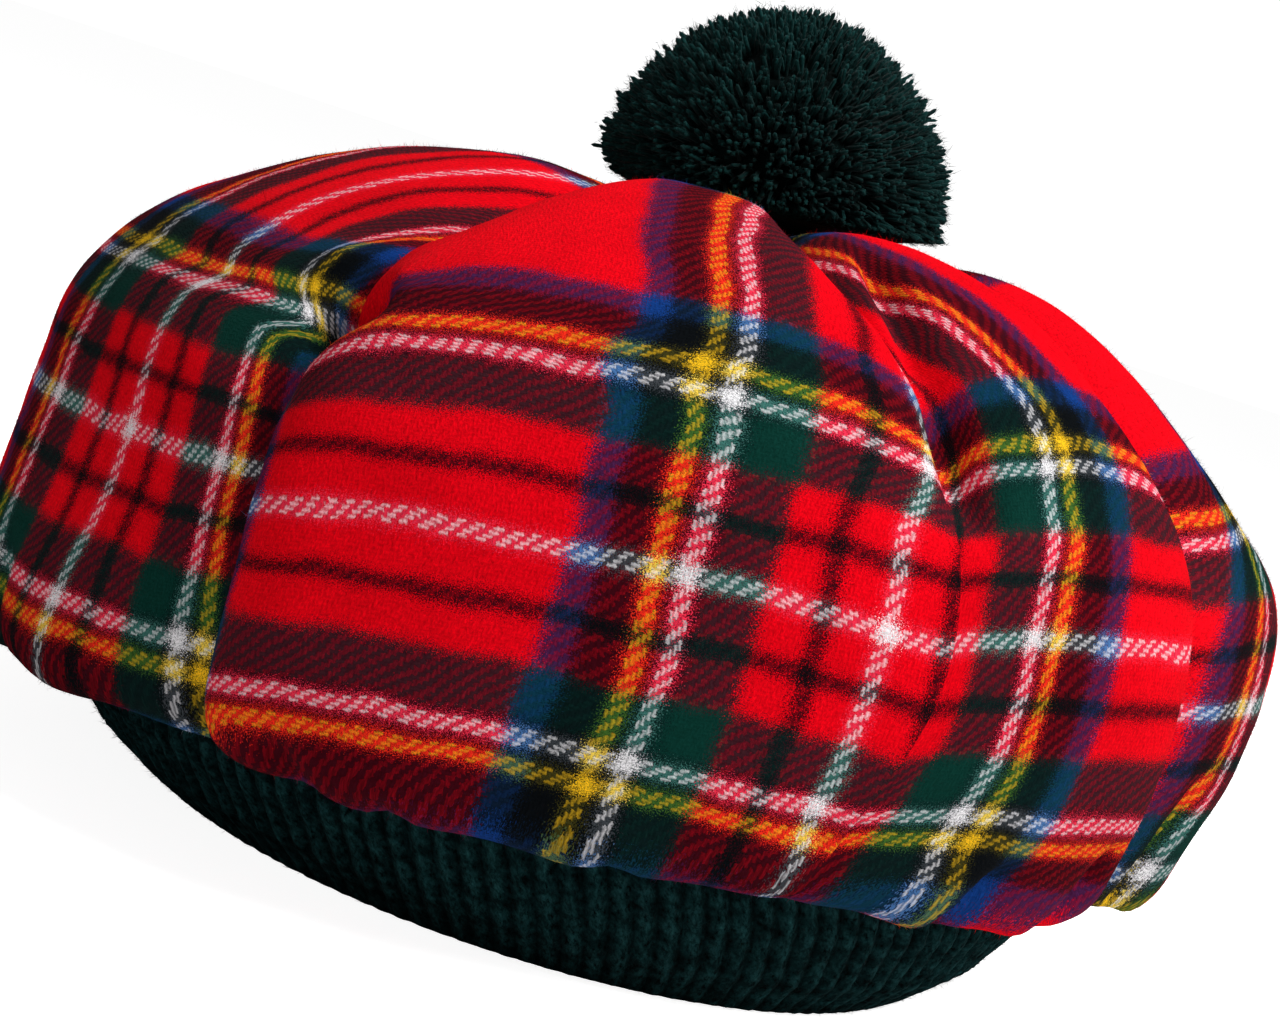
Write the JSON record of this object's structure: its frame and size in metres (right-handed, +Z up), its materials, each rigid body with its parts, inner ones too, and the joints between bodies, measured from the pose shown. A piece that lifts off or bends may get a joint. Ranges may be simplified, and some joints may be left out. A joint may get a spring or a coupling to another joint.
{
  "type": "tam o shanter",
  "caption": "Round tartan wool bonnet gathered at the top centre and on to a rib-knit headband, with a yarn pompom on top.",
  "frame": {"origin": "middle of the whole hat's footprint, on the surface that the headband's rim rests on", "axes": "+Z up through the pompom, -Y towards the front, +X to the right of the front view"},
  "size_m": [0.271, 0.2708, 0.1913],
  "materials": {
    "tartan_cloth": "brushed wool twill in a red, green, blue and black check with white and yellow lines",
    "rib_knit": "soft dark green rib-knit wool",
    "pompom_yarn": "dark green cut yarn"
  },
  "bodies": {
    "root": {"crown": "tartan_cloth", "band": "rib_knit", "pompom": "pompom_yarn"}
  },
  "joints": []
}
